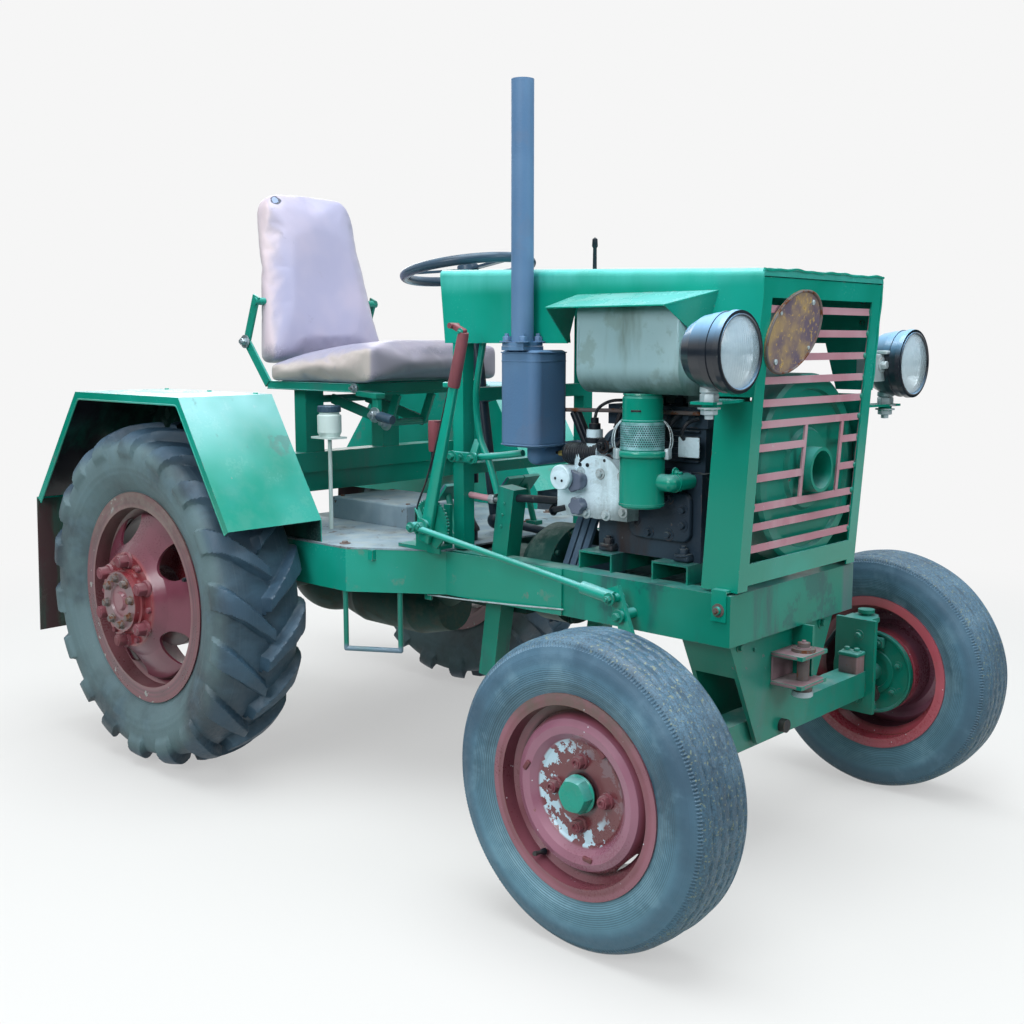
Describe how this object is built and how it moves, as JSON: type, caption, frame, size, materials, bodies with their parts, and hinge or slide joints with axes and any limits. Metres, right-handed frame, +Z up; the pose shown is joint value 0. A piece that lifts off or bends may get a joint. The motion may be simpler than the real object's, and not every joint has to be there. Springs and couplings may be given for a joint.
{
  "type": "farm tractor",
  "caption": "Small home-built farm tractor with a channel frame, front engine under a sheet bonnet, box fenders, car wheels in front and lugged truck wheels behind.",
  "frame": {"origin": "on the ground under the middle of the overall length, on the middle plane", "axes": "+X forward, +Y to the driver's left, +Z up"},
  "size_m": [2.21, 1.374, 1.586],
  "materials": {
    "body_paint": "worn teal-green brushed enamel",
    "frame_paint": "worn teal-green enamel over rust",
    "wheel_paint": "faded dull red, chipped",
    "bar_paint": "dull pink-red",
    "tyre_rubber": "worn, dusty",
    "black_paint": "black, dusty",
    "engine_paint": "grey paint, oily",
    "alloy": "dull cast alloy",
    "tank_metal": "dull grey paint",
    "exhaust_metal": "blue-grey heat paint",
    "bare_steel": "worn, rust spots",
    "rusty_steel": "rusty",
    "deck_metal": "worn grey tread sheet",
    "seat_vinyl": "matt artificial leather",
    "lamp_shell": "gloss black",
    "lamp_glass": "pressed lens glass",
    "plate_metal": "blank cast oval, worn",
    "belt_rubber": "dusty belt rubber",
    "reservoir_plastic": "milky plastic",
    "wheel_rim_plastic": "dark steering grip"
  },
  "bodies": {
    "chassis": {"chassis_frame": "frame_paint", "axle_hanger": "frame_paint", "tow_pin": "rusty_steel", "front_axle_beam": "frame_paint", "axle_pivot_pin": "bare_steel", "steering_column": "black_paint", "rear_axle": "frame_paint", "gearbox": "frame_paint", "drive_belts": "belt_rubber", "engine_block": "engine_paint", "flywheel_housing": "frame_paint", "gear_case": "alloy", "air_cleaner": "body_paint", "fuel_tank": "tank_metal", "exhaust_muffler": "exhaust_metal", "exhaust_pipe": "exhaust_metal", "hood": "body_paint", "grille_frame": "body_paint", "grille_bars": "bar_paint", "oval_plate": "plate_metal", "headlamp_shells": "lamp_shell", "headlamp_lenses": "lamp_glass", "floor_deck": "deck_metal", "side_skirts": "body_paint", "side_steps": "frame_paint", "fender_left": "body_paint", "fender_right": "body_paint", "seat_cushion": "seat_vinyl", "seat_back": "seat_vinyl", "seat_frame": "frame_paint", "seat_stand": "frame_paint", "tunnel_cover": "frame_paint", "brake_reservoir": "reservoir_plastic", "dash_frame": "frame_paint", "hand_lever": "body_paint", "lever_stand": "frame_paint", "shift_levers": "black_paint", "pull_rod": "body_paint", "pedals": "frame_paint", "rear_drawbar": "frame_paint"},
    "knuckle_left": {"knuckle_left": "frame_paint"},
    "knuckle_right": {"knuckle_right": "frame_paint"},
    "tie_rod": {"tie_rod": "frame_paint"},
    "pitman_arm": {"pitman_arm": "frame_paint"},
    "steering_wheel": {"steering_wheel": "wheel_rim_plastic"},
    "wheel_front_left": {"front_rim_left": "wheel_paint", "front_tyre_left": "tyre_rubber"},
    "wheel_front_right": {"front_rim_right": "wheel_paint", "front_tyre_right": "tyre_rubber"},
    "wheel_rear_left": {"rear_rim_left": "wheel_paint", "rear_tyre_left": "tyre_rubber"},
    "wheel_rear_right": {"rear_rim_right": "wheel_paint", "rear_tyre_right": "tyre_rubber"}
  },
  "joints": [
    {"name": "steer_left", "type": "hinge", "parent": "chassis", "child": "knuckle_left", "pos_m": [0.824, 0.45, 0.281], "axis": [0, 0, 1], "range_deg": [-30, 30]},
    {"name": "steer_right", "type": "hinge", "parent": "chassis", "child": "knuckle_right", "pos_m": [0.824, -0.45, 0.281], "axis": [0, 0, 1], "range_deg": [-30, 30]},
    {"name": "tie_rod_turn", "type": "hinge", "parent": "knuckle_left", "child": "tie_rod", "pos_m": [0.674, 0.45, 0.24], "axis": [0, 0, 1], "range_deg": [-30, 30]},
    {"name": "pitman_turn", "type": "hinge", "parent": "chassis", "child": "pitman_arm", "pos_m": [0.724, 0.13, 0.24], "axis": [0, 0, 1], "range_deg": [-30, 30]},
    {"name": "steering_wheel_turn", "type": "hinge", "parent": "chassis", "child": "steering_wheel", "pos_m": [-0.034, 0, 1.208], "axis": [-0.1497, 0, 0.9887], "range_deg": [-360, 360]},
    {"name": "front_left_spin", "type": "hinge", "parent": "knuckle_left", "child": "wheel_front_left", "pos_m": [0.824, 0.55, 0.281], "axis": [0, 1, 0], "continuous": true},
    {"name": "front_right_spin", "type": "hinge", "parent": "knuckle_right", "child": "wheel_front_right", "pos_m": [0.824, -0.55, 0.281], "axis": [0, 1, 0], "continuous": true},
    {"name": "rear_left_spin", "type": "hinge", "parent": "chassis", "child": "wheel_rear_left", "pos_m": [-0.57, 0.53, 0.43], "axis": [0, 1, 0], "continuous": true},
    {"name": "rear_right_spin", "type": "hinge", "parent": "chassis", "child": "wheel_rear_right", "pos_m": [-0.57, -0.53, 0.43], "axis": [0, 1, 0], "continuous": true}
  ],
  "couplings": [
    {"joint": "steer_right", "follows": "steer_left", "ratio": 1},
    {"joint": "tie_rod_turn", "follows": "steer_left", "ratio": -1},
    {"joint": "pitman_turn", "follows": "steer_left", "ratio": 1},
    {"joint": "steering_wheel_turn", "follows": "steer_left", "ratio": 12}
  ]
}
